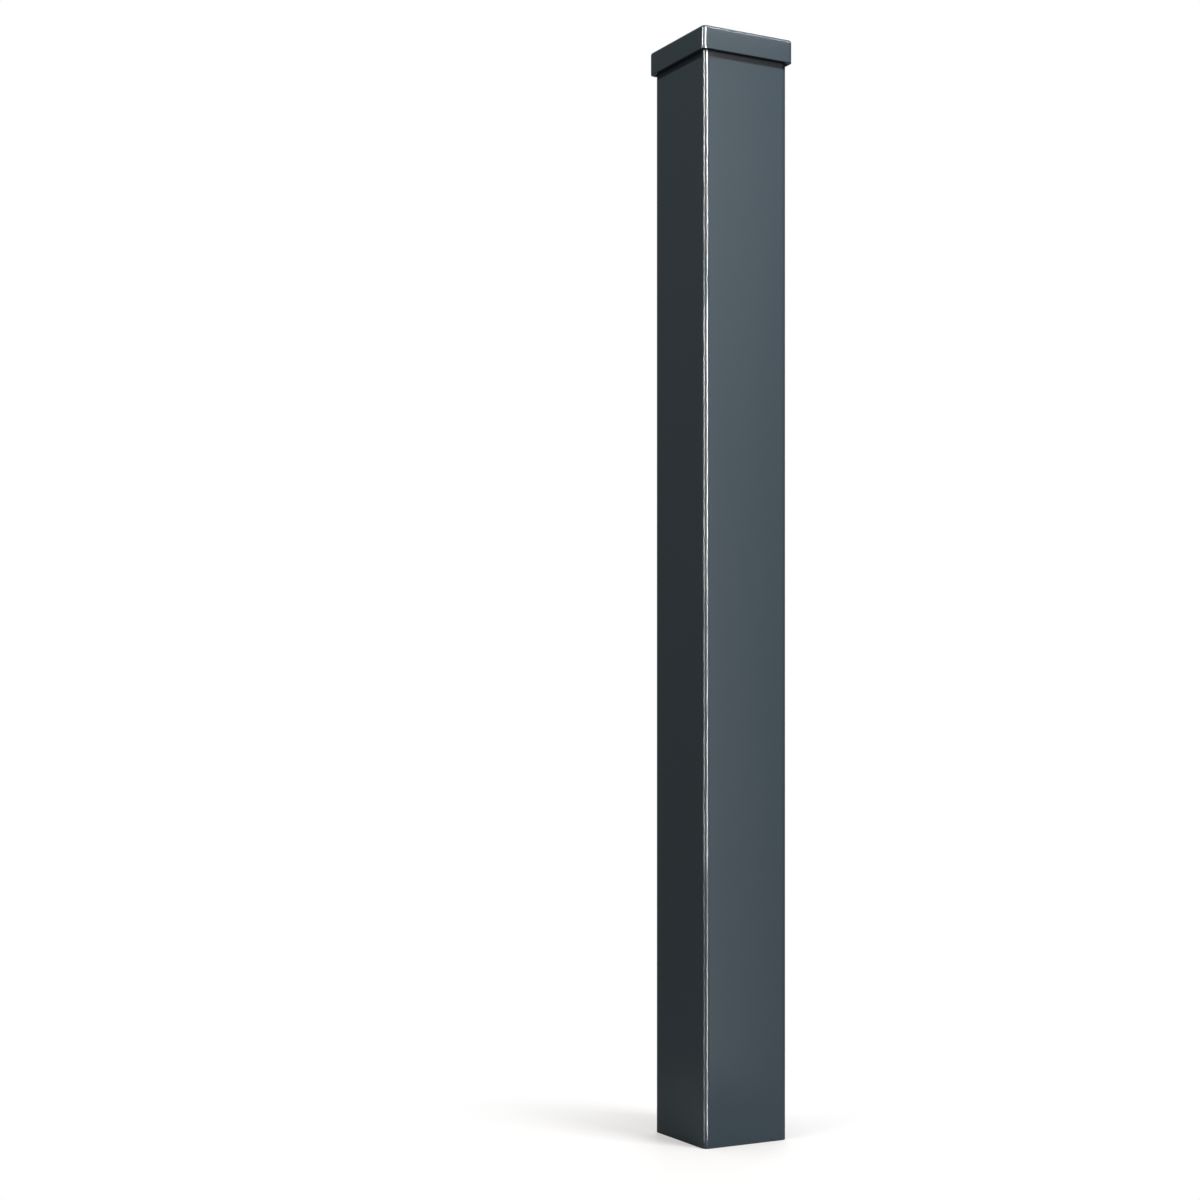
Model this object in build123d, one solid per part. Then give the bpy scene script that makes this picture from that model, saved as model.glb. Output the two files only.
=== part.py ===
from build123d import *
from build123d.topology import SkipClean
import os

# A metal fence post: a square hollow steel section with a flat slip-over cap. Sizes are in millimetres.
# The origin is the centre of the sawn foot, +Z runs up the post, and the four faces look along X and Y.

# The tube is folded from sheet, so its outer corners are the inside bend plus the wall.
tube_side = 100.0
tube_wall = 3.0
tube_bend_radius = 3.0
tube_length = 1130.0
foot_edge_radius = 0.5

# The cap is cast in one piece: a flat plate on the tube's end, and a skirt down its sides.
cap_plate = 4.0
skirt_depth = 20.0
skirt_wall = 3.5
skirt_clearance = 0.8
skirt_inner_radius = 1.5
cap_top_radius = 3.0
cap_lower_radius = 0.8

# Ribs inside the skirt take up its clearance and grip the tube. Each runs out in a slope at its foot.
ribs_per_side = 2
rib_spacing = 50.0
rib_width = 3.0
rib_foot_height = 3.0
rib_lead = 4.0
rib_gap = 0.05
rib_root = 0.5

tube_bore = tube_side - 2 * tube_wall
tube_corner_radius = tube_bend_radius + tube_wall
skirt_bore = tube_side + 2 * skirt_clearance
cap_side = skirt_bore + 2 * skirt_wall
cap_corner_radius = skirt_inner_radius + skirt_wall
skirt_bottom = tube_length - skirt_depth
overall_height = tube_length + cap_plate


def square_prism(side, corner_radius, low, high):
    """A square bar with rounded corners, centred on the post's axis between two heights."""
    outline = Plane.XY.offset(low) * RectangleRounded(side, side, corner_radius)
    return extrude(outline, high - low)


def edges_at(solid, height):
    """The edges of a solid that lie flat at one height."""
    return solid.edges().filter_by_position(Axis.Z, height, height)


def make_tube():
    """The tube, whose outer faces part at the skirt's lower edge: below it they are bare for brackets."""
    bare = square_prism(tube_side, tube_corner_radius, 0, skirt_bottom)
    bare = fillet(edges_at(bare, 0), foot_edge_radius)
    bore = square_prism(tube_bore, tube_bend_radius, 0, tube_length)
    covered = square_prism(tube_side, tube_corner_radius, skirt_bottom, tube_length)
    with SkipClean():
        return bare + covered - bore


def make_rib():
    """One grip rib on the skirt's +X wall: a slope, then a flat that stands a hair off the tube."""
    wall = skirt_bore / 2
    tip = tube_side / 2 + rib_gap
    foot = skirt_bottom + rib_foot_height
    side_view = Polyline(
        (wall + rib_root, 0, foot),
        (wall, 0, foot),
        (tip, 0, foot + rib_lead),
        (tip, 0, tube_length),
        (wall + rib_root, 0, tube_length),
        close=True,
    )
    return extrude(make_face(side_view), rib_width / 2, dir=(0, 1, 0), both=True)


def make_cap():
    """The cap: a rounded block, hollowed from below to fit over the tube, with ribs on each inner wall."""
    block = square_prism(cap_side, cap_corner_radius, skirt_bottom, overall_height)
    top_radius = min(cap_top_radius, 0.9 * cap_corner_radius)
    block = fillet(edges_at(block, overall_height), top_radius)
    block = fillet(edges_at(block, skirt_bottom), cap_lower_radius)
    cap = block - square_prism(skirt_bore, skirt_inner_radius, skirt_bottom, tube_length)

    rib = make_rib()
    for number in range(ribs_per_side):
        offset = (number - (ribs_per_side - 1) / 2) * rib_spacing
        for turn in (0, 90, 180, 270):
            cap += Rot(0, 0, turn) * Pos(0, offset, 0) * rib
    return cap


os.makedirs("parts", exist_ok=True)
for name, piece in (("post_tube", make_tube()), ("post_cap", make_cap())):
    piece.label = name
    export_step(piece, f"parts/{name}.step")
    size = piece.bounding_box().size
    print(f"{name}: {size.X:.1f} x {size.Y:.1f} x {size.Z:.1f} mm, {piece.volume / 1000:.1f} cm3")
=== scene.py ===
import math

import bmesh
import bpy
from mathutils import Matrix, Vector


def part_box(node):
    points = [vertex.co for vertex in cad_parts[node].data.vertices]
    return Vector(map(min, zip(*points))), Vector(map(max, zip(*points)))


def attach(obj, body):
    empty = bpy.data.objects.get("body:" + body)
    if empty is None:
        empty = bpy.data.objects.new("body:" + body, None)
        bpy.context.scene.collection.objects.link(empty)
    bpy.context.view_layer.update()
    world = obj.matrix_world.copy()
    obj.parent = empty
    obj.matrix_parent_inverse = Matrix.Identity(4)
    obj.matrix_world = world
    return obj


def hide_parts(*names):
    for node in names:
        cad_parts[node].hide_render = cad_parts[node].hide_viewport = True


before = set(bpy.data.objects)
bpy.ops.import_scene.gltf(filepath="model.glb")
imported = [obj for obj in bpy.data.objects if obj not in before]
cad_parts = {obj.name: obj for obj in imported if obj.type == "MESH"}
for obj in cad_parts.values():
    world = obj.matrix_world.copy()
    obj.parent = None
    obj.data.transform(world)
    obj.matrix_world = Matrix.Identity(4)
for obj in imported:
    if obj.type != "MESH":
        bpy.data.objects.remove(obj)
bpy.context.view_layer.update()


# The tube
# A square hollow section of mild steel, folded cold from strip and welded inside, then sawn square.
# It stands on its sawn foot. Its corners are bends, so they are round, and the saw's burr is eased off.

tube_low, tube_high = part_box("post_tube")
TUBE_SIDE = tube_high.x - tube_low.x
TUBE_LENGTH = tube_high.z
TUBE_WALL = 0.003
TUBE_CORNER_RADIUS = 0.006
FOOT_EDGE_RADIUS = 0.0005
CORNER_STEPS = 24
EDGE_STEPS = 6
SHARP_ANGLE = math.radians(40)
MERGE_DISTANCE = 1e-6

PAINT = (0.055, 0.081, 0.102)
COAT_ROUGHNESS = 0.23
COAT_IOR = 1.5
TONE_SPREAD = 0.05
ROUGHNESS_SPREAD = 0.04
PEEL_DEPTH = 0.00002
GRAIN_DEPTH = 0.000004
CLOUDS_PER_METRE = 14.0
SPECKS_PER_METRE = 900.0
SPECK_SHARE = 0.35
RUBS_PER_METRE = 35.0
PEEL_WAVES_PER_METRE = 380.0
GRAINS_PER_METRE = 1600.0


def place(tree, kind, inputs=None, **choices):
    """Adds a node. Choices are its own settings, and inputs are values or the sockets that feed it."""
    node = tree.nodes.new(kind)
    for name, value in choices.items():
        setattr(node, name, value)
    for name, value in (inputs or {}).items():
        if isinstance(value, bpy.types.NodeSocket):
            tree.links.new(value, node.inputs[name])
        else:
            node.inputs[name].default_value = value
    return node


def open_sockets(tree, inputs, outputs):
    """Gives a node group its named inputs and outputs, and returns its two end nodes."""
    for side, sockets in (("INPUT", inputs), ("OUTPUT", outputs)):
        for name, kind in sockets:
            tree.interface.new_socket(name, in_out=side, socket_type="NodeSocket" + kind)
    return tree.nodes.new("NodeGroupInput"), tree.nodes.new("NodeGroupOutput")


def build_sweep():
    """Geometry Nodes that carry an upright section once round the post's rounded square outline."""
    tree = bpy.data.node_groups.new("Section round the post", "GeometryNodeTree")
    given, result = open_sockets(
        tree,
        (("Section", "Geometry"), ("Side", "Float"), ("Corner Radius", "Float"),
         ("Corner Steps", "Int"), ("Coat", "Material")),
        (("Wall", "Geometry"),),
    )
    given = given.outputs
    square = place(tree, "GeometryNodeCurvePrimitiveQuadrilateral",
                   {"Width": given["Side"], "Height": given["Side"]})
    outline = place(tree, "GeometryNodeFilletCurve",
                    {"Curve": square.outputs["Curve"], "Count": given["Corner Steps"],
                     "Radius": given["Corner Radius"]}, mode="POLY")
    level = place(tree, "GeometryNodeSetCurveNormal", {"Curve": outline.outputs["Curve"]}, mode="Z_UP")
    upright = place(tree, "GeometryNodeTransform",
                    {"Geometry": given["Section"], "Rotation": (math.pi, 0, 0)})
    wall = place(tree, "GeometryNodeCurveToMesh",
                 {"Curve": level.outputs["Curve"], "Profile Curve": upright.outputs["Geometry"]})
    smooth = place(tree, "GeometryNodeSetShadeSmooth", {"Geometry": wall.outputs["Mesh"]})
    real = place(tree, "GeometryNodeRealizeInstances", {"Geometry": smooth.outputs["Geometry"]})
    coated = place(tree, "GeometryNodeSetMaterial",
                   {"Geometry": real.outputs["Geometry"], "Material": given["Coat"]})
    tree.links.new(coated.outputs["Geometry"], result.inputs["Wall"])
    return tree


def run_tree(name, data, tree, values):
    """Runs a Geometry Nodes tree on a curve or mesh, and returns the plain mesh that comes out."""
    source = bpy.data.objects.new(name, data)
    bpy.context.scene.collection.objects.link(source)
    modifier = source.modifiers.new("Build", "NODES")
    modifier.node_group = tree
    for item in tree.interface.items_tree:
        if item.item_type == "SOCKET" and item.in_out == "INPUT" and item.name in values:
            modifier[item.identifier] = values[item.name]
    built = source.evaluated_get(bpy.context.evaluated_depsgraph_get())
    mesh = bpy.data.meshes.new_from_object(built)
    bpy.data.objects.remove(source)
    return mesh


def arc(centre, radius, start, end, steps):
    """Points on an arc, from one angle to another in degrees."""
    angles = [math.radians(start + (end - start) * step / steps) for step in range(steps + 1)]
    return [(centre[0] + radius * math.cos(a), centre[1] + radius * math.sin(a)) for a in angles]


def section_curve(name, points, closed):
    """A section as a curve: each point is how far it stands out from the outline, and its height."""
    curve = bpy.data.curves.new(name, "CURVE")
    curve.dimensions = "3D"
    spline = curve.splines.new("POLY")
    spline.points.add(len(points) - 1)
    for point, (out, height) in zip(spline.points, points):
        point.co = (out, height, 0, 1)
    spline.use_cyclic_u = closed
    return curve


def finish_mesh(name, mesh):
    """Closes holes, turns faces outwards, keeps true edges crisp, and makes the piece's object."""
    shape = bmesh.new()
    shape.from_mesh(mesh)
    bmesh.ops.remove_doubles(shape, verts=shape.verts, dist=MERGE_DISTANCE)
    bmesh.ops.holes_fill(shape, edges=[edge for edge in shape.edges if edge.is_boundary], sides=0)
    bmesh.ops.recalc_face_normals(shape, faces=shape.faces)
    for face in shape.faces:
        face.smooth = True
    for edge in shape.edges:
        edge.smooth = edge.calc_face_angle() < SHARP_ANGLE
    shape.to_mesh(mesh)
    shape.free()
    mesh.name = name
    piece = bpy.data.objects.new(name, mesh)
    bpy.context.scene.collection.objects.link(piece)
    weighted = piece.modifiers.new("Flat faces stay flat", "WEIGHTED_NORMAL")
    weighted.keep_sharp = True
    return piece


def build_coat_skin():
    """Shader group for the powder coat's skin: its colour, gloss and surface all vary a little."""
    tree = bpy.data.node_groups.new("Powder coat skin", "ShaderNodeTree")
    given, result = open_sockets(
        tree,
        (("Paint", "Color"), ("Tone Spread", "Float"), ("Roughness", "Float"),
         ("Roughness Spread", "Float"), ("Peel Depth", "Float"), ("Grain Depth", "Float")),
        (("Colour", "Color"), ("Roughness", "Float"), ("Normal", "Vector")),
    )
    given = given.outputs
    where = place(tree, "ShaderNodeTexCoord").outputs["Object"]

    cloud = place(tree, "ShaderNodeTexNoise", {"Vector": where, "Scale": CLOUDS_PER_METRE, "Detail": 3.0})
    speck = place(tree, "ShaderNodeTexNoise", {"Vector": where, "Scale": SPECKS_PER_METRE, "Detail": 1.0})
    blend = place(tree, "ShaderNodeMix", {"Factor": SPECK_SHARE, 2: cloud.outputs["Fac"],
                                          3: speck.outputs["Fac"]}, data_type="FLOAT")
    centred = place(tree, "ShaderNodeMath", {0: blend.outputs[0], 1: 0.5}, operation="SUBTRACT")
    spread = place(tree, "ShaderNodeMath", {0: centred.outputs[0], 1: given["Tone Spread"], 2: 1.0},
                   operation="MULTIPLY_ADD")
    tone = place(tree, "ShaderNodeVectorMath", {0: given["Paint"], "Scale": spread.outputs[0]},
                 operation="SCALE")

    rub = place(tree, "ShaderNodeTexNoise", {"Vector": where, "Scale": RUBS_PER_METRE, "Detail": 4.0})
    about = place(tree, "ShaderNodeMath", {0: rub.outputs["Fac"], 1: 0.5}, operation="SUBTRACT")
    gloss = place(tree, "ShaderNodeMath", {0: about.outputs[0], 1: given["Roughness Spread"],
                                           2: given["Roughness"]}, operation="MULTIPLY_ADD")

    peel = place(tree, "ShaderNodeTexNoise",
                 {"Vector": where, "Scale": PEEL_WAVES_PER_METRE, "Detail": 2.0})
    waves = place(tree, "ShaderNodeBump", {"Height": peel.outputs["Fac"],
                                           "Distance": given["Peel Depth"]})
    grain = place(tree, "ShaderNodeTexNoise",
                  {"Vector": where, "Scale": GRAINS_PER_METRE, "Detail": 2.0})
    stipple = place(tree, "ShaderNodeBump", {"Height": grain.outputs["Fac"],
                                             "Distance": given["Grain Depth"],
                                             "Normal": waves.outputs["Normal"]})

    tree.links.new(tone.outputs["Vector"], result.inputs["Colour"])
    tree.links.new(gloss.outputs[0], result.inputs["Roughness"])
    tree.links.new(stipple.outputs["Normal"], result.inputs["Normal"])
    return tree


def coat_material(name, skin, paint, roughness):
    """The coat on one piece: the shared skin, with the piece's own colour and roughness."""
    material = bpy.data.materials.new(name)
    material.use_nodes = True
    tree = material.node_tree
    tree.nodes.clear()
    group = place(tree, "ShaderNodeGroup", node_tree=skin)
    values = {"Paint": (*paint, 1.0), "Tone Spread": TONE_SPREAD, "Roughness": roughness,
              "Roughness Spread": ROUGHNESS_SPREAD, "Peel Depth": PEEL_DEPTH,
              "Grain Depth": GRAIN_DEPTH}
    for socket, value in values.items():
        group.inputs[socket].default_value = value
    shader = place(tree, "ShaderNodeBsdfPrincipled",
                   {"Base Color": group.outputs["Colour"], "Roughness": group.outputs["Roughness"],
                    "Normal": group.outputs["Normal"], "IOR": COAT_IOR})
    place(tree, "ShaderNodeOutputMaterial", {"Surface": shader.outputs["BSDF"]})
    return material


sweep = build_sweep()
coat_skin = build_coat_skin()
tube_coat = coat_material("tube powder coat", coat_skin, PAINT, COAT_ROUGHNESS)
wall_section = arc((-FOOT_EDGE_RADIUS, FOOT_EDGE_RADIUS), FOOT_EDGE_RADIUS, -90, 0, EDGE_STEPS) + [
    (0, TUBE_LENGTH),
    (-TUBE_WALL, TUBE_LENGTH),
    (-TUBE_WALL, 0),
]
tube_mesh = run_tree("tube section", section_curve("tube section", wall_section, True), sweep,
                     {"Side": TUBE_SIDE, "Corner Radius": TUBE_CORNER_RADIUS,
                      "Corner Steps": CORNER_STEPS, "Coat": tube_coat})
tube = finish_mesh("tube", tube_mesh)
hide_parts("post_tube")
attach(tube, "root")


# The cap
# One die casting, coated like the tube: a flat plate that lies on the tube's end, and a skirt down its
# sides. Ribs cast inside the skirt grip the tube and leave a thin gap all round it.

cap_low, cap_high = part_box("post_cap")
CAP_SIDE = cap_high.x - cap_low.x
SKIRT_WALL = 0.0035
CAP_CORNER_RADIUS = 0.005
CAP_TOP_RADIUS = 0.003
CAP_LOWER_RADIUS = 0.0008
TOP_STEPS = 10
RIBS_PER_SIDE = 2
RIB_SPACING = 0.050
RIB_WIDTH = 0.003
RIB_FOOT_HEIGHT = 0.003
RIB_LEAD = 0.004
RIB_GAP = 0.00005
RIB_ROOT = 0.0005


def build_rib_ring():
    """Geometry Nodes that set a row of ribs on one wall and repeat the row on all four."""
    tree = bpy.data.node_groups.new("Ribs inside the skirt", "GeometryNodeTree")
    given, result = open_sockets(
        tree,
        (("Rib", "Geometry"), ("Ribs per Side", "Int"), ("Spacing", "Float"), ("Coat", "Material")),
        (("Ribs", "Geometry"),),
    )
    given = given.outputs
    gaps = place(tree, "ShaderNodeMath", {0: given["Ribs per Side"], 1: 1.0}, operation="SUBTRACT")
    half = place(tree, "ShaderNodeMath", {0: gaps.outputs[0], 1: -0.5}, operation="MULTIPLY")
    first = place(tree, "ShaderNodeMath", {0: half.outputs[0], 1: given["Spacing"]},
                  operation="MULTIPLY")
    start = place(tree, "ShaderNodeCombineXYZ", {"Y": first.outputs[0]})
    step = place(tree, "ShaderNodeCombineXYZ", {"Y": given["Spacing"]})
    row = place(tree, "GeometryNodeMeshLine",
                {"Count": given["Ribs per Side"], "Start Location": start.outputs[0],
                 "Offset": step.outputs[0]})
    ribs = place(tree, "GeometryNodeInstanceOnPoints",
                 {"Points": row.outputs["Mesh"], "Instance": given["Rib"]})
    sides = place(tree, "GeometryNodePoints", {"Count": 4})
    number = place(tree, "GeometryNodeInputIndex")
    turn = place(tree, "ShaderNodeMath", {0: number.outputs[0], 1: math.pi / 2},
                 operation="MULTIPLY")
    upright = place(tree, "ShaderNodeCombineXYZ", {"Z": turn.outputs[0]})
    ring = place(tree, "GeometryNodeInstanceOnPoints",
                 {"Points": sides.outputs[0], "Instance": ribs.outputs["Instances"],
                  "Rotation": upright.outputs[0]})
    real = place(tree, "GeometryNodeRealizeInstances", {"Geometry": ring.outputs["Instances"]})
    coated = place(tree, "GeometryNodeSetMaterial",
                   {"Geometry": real.outputs["Geometry"], "Material": given["Coat"]})
    tree.links.new(coated.outputs["Geometry"], result.inputs["Ribs"])
    return tree


def rib_mesh():
    """One rib on the skirt's +X wall, rooted in the wall and sloped at its foot."""
    wall = CAP_SIDE / 2 - SKIRT_WALL
    tip = TUBE_SIDE / 2 + RIB_GAP
    foot = cap_low.z + RIB_FOOT_HEIGHT
    side_view = [(wall + RIB_ROOT, foot), (wall, foot), (tip, foot + RIB_LEAD),
                 (tip, TUBE_LENGTH), (wall + RIB_ROOT, TUBE_LENGTH)]
    count = len(side_view)
    points = [(x, side * RIB_WIDTH / 2, z) for side in (-1, 1) for x, z in side_view]
    faces = [list(range(count)), list(range(2 * count - 1, count - 1, -1))]
    for corner in range(count):
        after = (corner + 1) % count
        faces.append([after, corner, corner + count, after + count])
    mesh = bpy.data.meshes.new("rib")
    mesh.from_pydata(points, [], faces)
    return mesh


def joined(meshes):
    """Several meshes as one, with the first one's material."""
    shape = bmesh.new()
    for mesh in meshes:
        shape.from_mesh(mesh)
    shape.to_mesh(meshes[0])
    shape.free()
    return meshes[0]


def cap_section():
    """The skirt's section, from the plate's underside down, round the lower edge and up to the top."""
    lower = (-CAP_LOWER_RADIUS, cap_low.z + CAP_LOWER_RADIUS)
    upper = (-CAP_TOP_RADIUS, cap_high.z - CAP_TOP_RADIUS)
    return (
        [(-SKIRT_WALL, TUBE_LENGTH), (-SKIRT_WALL, cap_low.z)]
        + arc(lower, CAP_LOWER_RADIUS, -90, 0, EDGE_STEPS)
        + arc(upper, CAP_TOP_RADIUS, 0, 90, TOP_STEPS)
    )


cap_coat = coat_material("cap powder coat", coat_skin, PAINT, COAT_ROUGHNESS)
skirt_mesh = run_tree("cap section", section_curve("cap section", cap_section(), False), sweep,
                      {"Side": CAP_SIDE, "Corner Radius": CAP_CORNER_RADIUS,
                       "Corner Steps": CORNER_STEPS, "Coat": cap_coat})
ribs_mesh = run_tree("rib", rib_mesh(), build_rib_ring(),
                     {"Ribs per Side": RIBS_PER_SIDE, "Spacing": RIB_SPACING, "Coat": cap_coat})
cap = finish_mesh("cap", joined([skirt_mesh, ribs_mesh]))
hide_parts("post_cap")
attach(cap, "root")


# The camera
# It stands at the photograph's place: level, a little under half the post's height, with the post to
# its right, so that the cap is seen from below and the foot from above.

PHOTO_SIZE = 1200
FOCAL_LENGTH_MM = 61.70
SENSOR_MM = 36.0
CAMERA_HEIGHT = 0.4464
CAMERA_DISTANCE = 2.1425
POST_OFFSET = 0.12546
POST_TURN = math.radians(28.6)
HORIZON_PX = 707.06
NEAR_CLIP = 0.05

to_right = Vector((math.cos(POST_TURN), -math.sin(POST_TURN), 0))
forward = Vector((math.sin(POST_TURN), math.cos(POST_TURN), 0))

lens = bpy.data.cameras.new("camera")
lens.lens = FOCAL_LENGTH_MM
lens.sensor_width = SENSOR_MM
lens.shift_y = (HORIZON_PX - PHOTO_SIZE / 2) / PHOTO_SIZE
lens.clip_start = NEAR_CLIP
camera = bpy.data.objects.new("camera", lens)
camera.location = -POST_OFFSET * to_right - CAMERA_DISTANCE * forward + Vector((0, 0, CAMERA_HEIGHT))
camera.rotation_euler = (math.pi / 2, 0, -POST_TURN)
bpy.context.scene.collection.objects.link(camera)
bpy.context.scene.camera = camera


# The ground and the backdrop
# A pale studio floor that keeps the post's soft shadow and runs out into white. Round the post's foot
# its glow is also darkened by ambient occlusion, a painted soft shadow. The white behind the post shows
# in the coat's gloss too. To all other light the room is dim and the floor darker.

WHITE = (1.0, 1.0, 1.0)
FLOOR_RADIUS = 0.40
FLOOR_SIDES = 96
SHADOW_RADIUS = 0.08
FADE_RADIUS = 0.36
FLOOR_SHADE = 0.25
FLOOR_BOUNCE = 0.14
FLOOR_GLOW = 0.69
# How far out and how deep the painted shade round the post's foot goes.
PAINTED_SHADE_REACH = 0.25
PAINTED_SHADE_DEPTH = 0.6
FLOOR_SHEEN = 0.04
FLOOR_SHEEN_ROUGHNESS = 0.18
ROOM_LIGHT = 0.08
BACKDROP_FADE = math.radians(9)
BACKDROP_END = math.radians(15)


def either(tree, first, second):
    """1 where one of two masks is 1."""
    return place(tree, "ShaderNodeMath", {0: first, 1: second}, operation="MAXIMUM").outputs[0]


def both_of(tree, first, second):
    """1 where two masks are 1."""
    return place(tree, "ShaderNodeMath", {0: first, 1: second}, operation="MULTIPLY").outputs[0]


def towards_backdrop(tree, direction):
    """1 where a direction from the post runs to the white backdrop, and 0 towards the dim room."""
    level = place(tree, "ShaderNodeVectorMath", {0: direction}, operation="NORMALIZE")
    ahead = place(tree, "ShaderNodeVectorMath", {0: level.outputs["Vector"], 1: forward},
                  operation="DOT_PRODUCT")
    return place(tree, "ShaderNodeMapRange",
                 {"Value": ahead.outputs["Value"], "From Min": math.cos(BACKDROP_END),
                  "From Max": math.cos(BACKDROP_FADE)}).outputs["Result"]


def floor_material():
    """A pale, faintly glossy floor that keeps the post's shadow, with painted shade round its foot, and
    runs out into the white backdrop.
    """
    material = bpy.data.materials.new("studio floor")
    material.use_nodes = True
    tree = material.node_tree
    tree.nodes.clear()
    path = place(tree, "ShaderNodeLightPath").outputs
    looked_at = either(tree, path["Is Camera Ray"], path["Is Transmission Ray"])
    where = place(tree, "ShaderNodeTexCoord").outputs["Object"]
    mirrored = both_of(tree, path["Is Glossy Ray"], towards_backdrop(tree, where))
    seen = either(tree, looked_at, mirrored)
    reach = place(tree, "ShaderNodeVectorMath", {0: where}, operation="LENGTH")
    fade = place(tree, "ShaderNodeMapRange",
                 {"Value": reach.outputs["Value"], "From Min": SHADOW_RADIUS, "From Max": FADE_RADIUS,
                  "To Min": 0.0, "To Max": 1.0}, interpolation_type="SMOOTHSTEP")
    # Ambient occlusion darkens the floor's glow round the post's foot: painted shade.
    occlusion_for_painted_shade = place(tree, "ShaderNodeAmbientOcclusion", {"Distance": PAINTED_SHADE_REACH})
    glow_with_painted_shade = place(tree, "ShaderNodeMapRange",
                      {"Value": occlusion_for_painted_shade.outputs["AO"], "To Min": FLOOR_GLOW * (1 - PAINTED_SHADE_DEPTH),
                       "To Max": FLOOR_GLOW})
    glow_strength = place(tree, "ShaderNodeMath", {0: looked_at, 1: glow_with_painted_shade.outputs["Result"]},
                          operation="MULTIPLY")
    paint = place(tree, "ShaderNodeMapRange",
                  {"Value": looked_at, "To Min": FLOOR_BOUNCE, "To Max": FLOOR_SHADE})
    lit = place(tree, "ShaderNodeBsdfDiffuse", {"Color": paint.outputs["Result"]})
    glow = place(tree, "ShaderNodeEmission",
                 {"Color": (*WHITE, 1.0), "Strength": glow_strength.outputs[0]})
    pale = place(tree, "ShaderNodeAddShader", {0: lit.outputs[0], 1: glow.outputs[0]})
    sheen = place(tree, "ShaderNodeBsdfGlossy",
                  {"Color": (*WHITE, 1.0), "Roughness": FLOOR_SHEEN_ROUGHNESS})
    near = place(tree, "ShaderNodeMixShader",
                 {"Fac": FLOOR_SHEEN, 1: pale.outputs[0], 2: sheen.outputs[0]})
    white = place(tree, "ShaderNodeEmission", {"Color": (*WHITE, 1.0), "Strength": 1.0})
    shown = place(tree, "ShaderNodeMixShader",
                  {"Fac": fade.outputs["Result"], 1: near.outputs[0], 2: white.outputs[0]})
    floor = place(tree, "ShaderNodeMixShader", {"Fac": seen, 1: lit.outputs[0], 2: shown.outputs[0]})
    place(tree, "ShaderNodeOutputMaterial", {"Surface": floor.outputs[0]})
    return material


def build_floor():
    """The floor: a flat disc under the post, which ends where its material has faded into white."""
    mesh = bpy.data.meshes.new("floor")
    shape = bmesh.new()
    bmesh.ops.create_circle(shape, cap_ends=True, segments=FLOOR_SIDES, radius=FLOOR_RADIUS)
    shape.to_mesh(mesh)
    shape.free()
    mesh.materials.append(floor_material())
    floor = bpy.data.objects.new("floor", mesh)
    bpy.context.scene.collection.objects.link(floor)
    return floor


def build_backdrop():
    """The white backdrop, with a dim room round it that only the light and the coat's gloss meet."""
    studio = bpy.data.worlds.new("studio")
    studio.use_nodes = True
    tree = studio.node_tree
    tree.nodes.clear()
    path = place(tree, "ShaderNodeLightPath").outputs
    looked_at = either(tree, path["Is Camera Ray"], path["Is Transmission Ray"])
    direction = place(tree, "ShaderNodeTexCoord").outputs["Generated"]
    mirrored = both_of(tree, path["Is Glossy Ray"], towards_backdrop(tree, direction))
    seen = either(tree, looked_at, mirrored)
    room = place(tree, "ShaderNodeBackground", {"Color": (*WHITE, 1.0), "Strength": ROOM_LIGHT})
    white = place(tree, "ShaderNodeBackground", {"Color": (*WHITE, 1.0), "Strength": 1.0})
    around = place(tree, "ShaderNodeMixShader", {"Fac": seen, 1: room.outputs[0], 2: white.outputs[0]})
    place(tree, "ShaderNodeOutputWorld", {"Surface": around.outputs[0]})
    return studio


build_floor()
bpy.context.scene.world = build_backdrop()


# The lamps
# Three softboxes light the coat's colour, and polarising sheets keep them out of its gloss. Thin gloss
# strips do the reverse: close to the post they draw the bright lines down its near corner and along the
# cap's top edge, and two further off give the wide face its sheen. Grids keep the close ones narrow.

SOFTBOX = {"visible_glossy": False}
GLOSS_STRIP = {"visible_diffuse": False}
WARM = (1.0, 0.90, 0.78)
NO_GRID = math.pi
CORNER_GRID = math.radians(50)
EDGE_GRID = math.radians(90)
MID_HEIGHT = TUBE_LENGTH / 2
WIDE_FACE_ANGLE = math.degrees(POST_TURN)
SHEEN_ANGLE = 56
SHEEN_DISTANCE = 2.4
SHEEN_WIDTH = 0.12
LOWER_SHEEN_HEIGHT = 0.65
UPPER_SHEEN_HEIGHT = 1.70
EDGE_STRIP_AIM = 1.131
STRIP_DISTANCE = 0.06
STRIP_WIDTH = 0.002
STRIP_OVERLAP = 1.03
RIGHT_STRIP_WATTS = (0.020, 0.032, 0.052, 0.055)
LEFT_STRIP_WATTS = (0.0065, 0.0125, 0.0245, 0.0255)

axis = Vector((0, 0, 0))
near_corner = Vector((-TUBE_SIDE / 2, -TUBE_SIDE / 2, 0))
front_edge = Vector((0, -CAP_SIDE / 2, 0))


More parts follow.
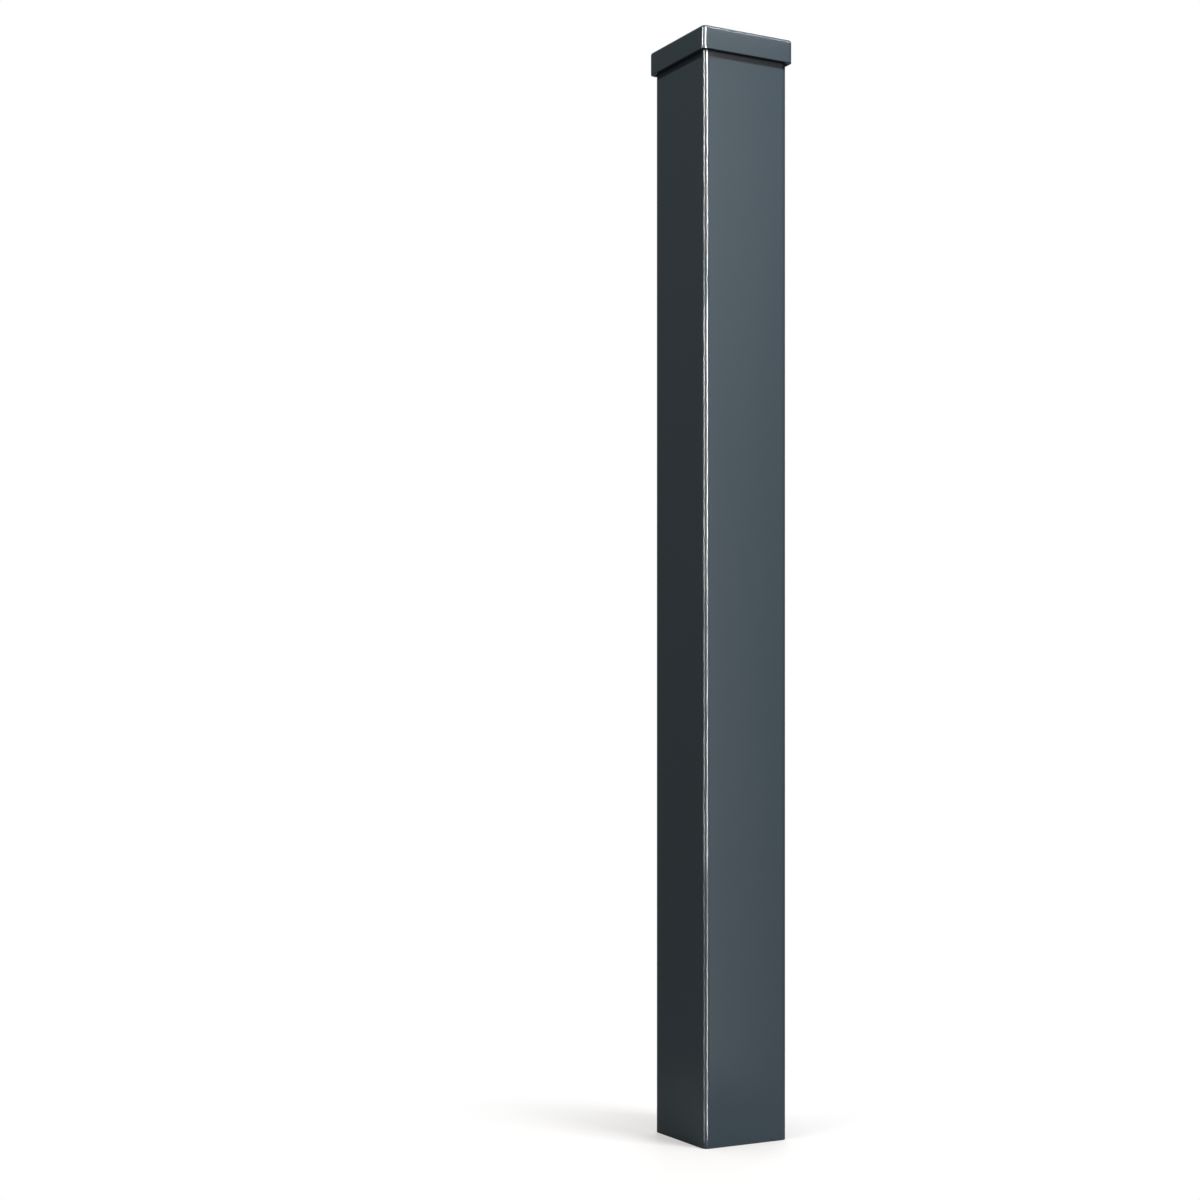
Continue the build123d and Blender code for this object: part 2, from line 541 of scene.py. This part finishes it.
def lamp(name, kind, centre, angle, distance, height, size, watts, aim_height,
         grid=NO_GRID, colour=WHITE):
    """A rectangular lamp aimed at an upright line. Angles go round it from the camera to the right."""
    light = bpy.data.lights.new(name, "AREA")
    light.shape = "RECTANGLE"
    light.size, light.size_y = size
    light.energy = watts
    light.color = colour
    light.spread = grid
    turned = math.radians(angle)
    stand = distance * (math.sin(turned) * to_right - math.cos(turned) * forward)
    holder = bpy.data.objects.new(name, light)
    holder.location = centre + stand + Vector((0, 0, height))
    aim = centre + Vector((0, 0, aim_height)) - holder.location
    holder.rotation_euler = aim.to_track_quat("-Z", "Y").to_euler()
    holder.visible_camera = False
    for setting, value in kind.items():
        setattr(holder, setting, value)
    bpy.context.scene.collection.objects.link(holder)


def corner_strip(name, angle, all_watts):
    """A gloss strip up the near corner, in short lengths that each face what the camera sees there."""
    length = cap_high.z / len(all_watts)
    for number, watts in enumerate(all_watts):
        middle = (number + 0.5) * length
        rise = STRIP_DISTANCE * (middle - CAMERA_HEIGHT) / CAMERA_DISTANCE
        lamp(f"{name} {number + 1}", GLOSS_STRIP, near_corner, angle, STRIP_DISTANCE, middle + rise,
             (STRIP_WIDTH, STRIP_OVERLAP * length), watts, middle, CORNER_GRID)


lamp("right softbox", SOFTBOX, axis, angle=55, distance=2.3, height=4.3, size=(1.2, 0.3),
     watts=280, aim_height=MID_HEIGHT)
lamp("left softbox", SOFTBOX, axis, angle=-52, distance=2.0, height=4.0, size=(1.2, 0.3),
     watts=86, aim_height=MID_HEIGHT, colour=WARM)
lamp("back softbox", SOFTBOX, axis, angle=170, distance=2.2, height=3.6, size=(1.2, 1.2),
     watts=60, aim_height=MID_HEIGHT)
lamp("right face strip", GLOSS_STRIP, axis, SHEEN_ANGLE, SHEEN_DISTANCE, LOWER_SHEEN_HEIGHT,
     size=(SHEEN_WIDTH, 2.5), watts=4.2, aim_height=LOWER_SHEEN_HEIGHT)
lamp("upper face strip", GLOSS_STRIP, axis, SHEEN_ANGLE, SHEEN_DISTANCE, UPPER_SHEEN_HEIGHT,
     size=(SHEEN_WIDTH, 0.8), watts=1.6, aim_height=UPPER_SHEEN_HEIGHT)
lamp("cap edge strip", GLOSS_STRIP, front_edge, WIDE_FACE_ANGLE, distance=0.05, height=1.172,
     size=(0.2, 0.0026), watts=0.12, aim_height=EDGE_STRIP_AIM, grid=EDGE_GRID)
corner_strip("right corner strip", angle=15, all_watts=RIGHT_STRIP_WATTS)
corner_strip("left corner strip", angle=-52, all_watts=LEFT_STRIP_WATTS)


bpy.context.scene.view_settings.view_transform = "Standard"
